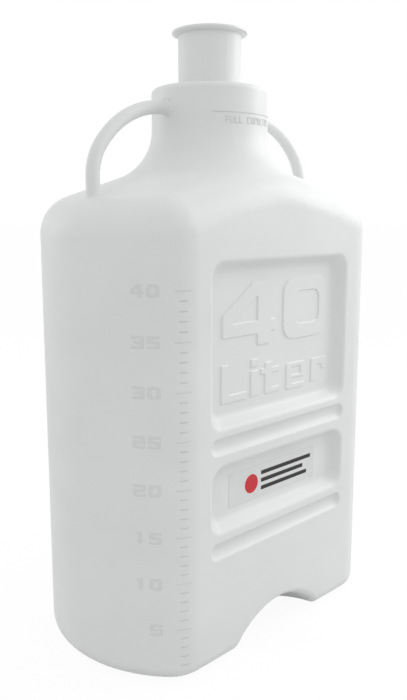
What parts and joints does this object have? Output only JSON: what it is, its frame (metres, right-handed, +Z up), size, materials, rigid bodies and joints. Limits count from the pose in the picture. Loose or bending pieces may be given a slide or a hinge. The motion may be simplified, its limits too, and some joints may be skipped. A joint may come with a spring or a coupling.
{
  "type": "carboy",
  "caption": "Tall flat-sided moulded carboy with rounded ends, recessed front and back panels, finger scoops, two arched side handles and a flanged clamp-type neck, open at the mouth.",
  "frame": {"origin": "centre of the foot, on the neck's centre line", "axes": "+Z up through the neck, front face with the film label towards -Y, handles along X"},
  "size_m": [0.433, 0.2502, 0.7256],
  "materials": {
    "natural_polyethylene": "satin, translucent",
    "label_film": "clear gloss film"
  },
  "bodies": {
    "root": {"bottle": "natural_polyethylene", "label": "label_film"}
  },
  "joints": []
}
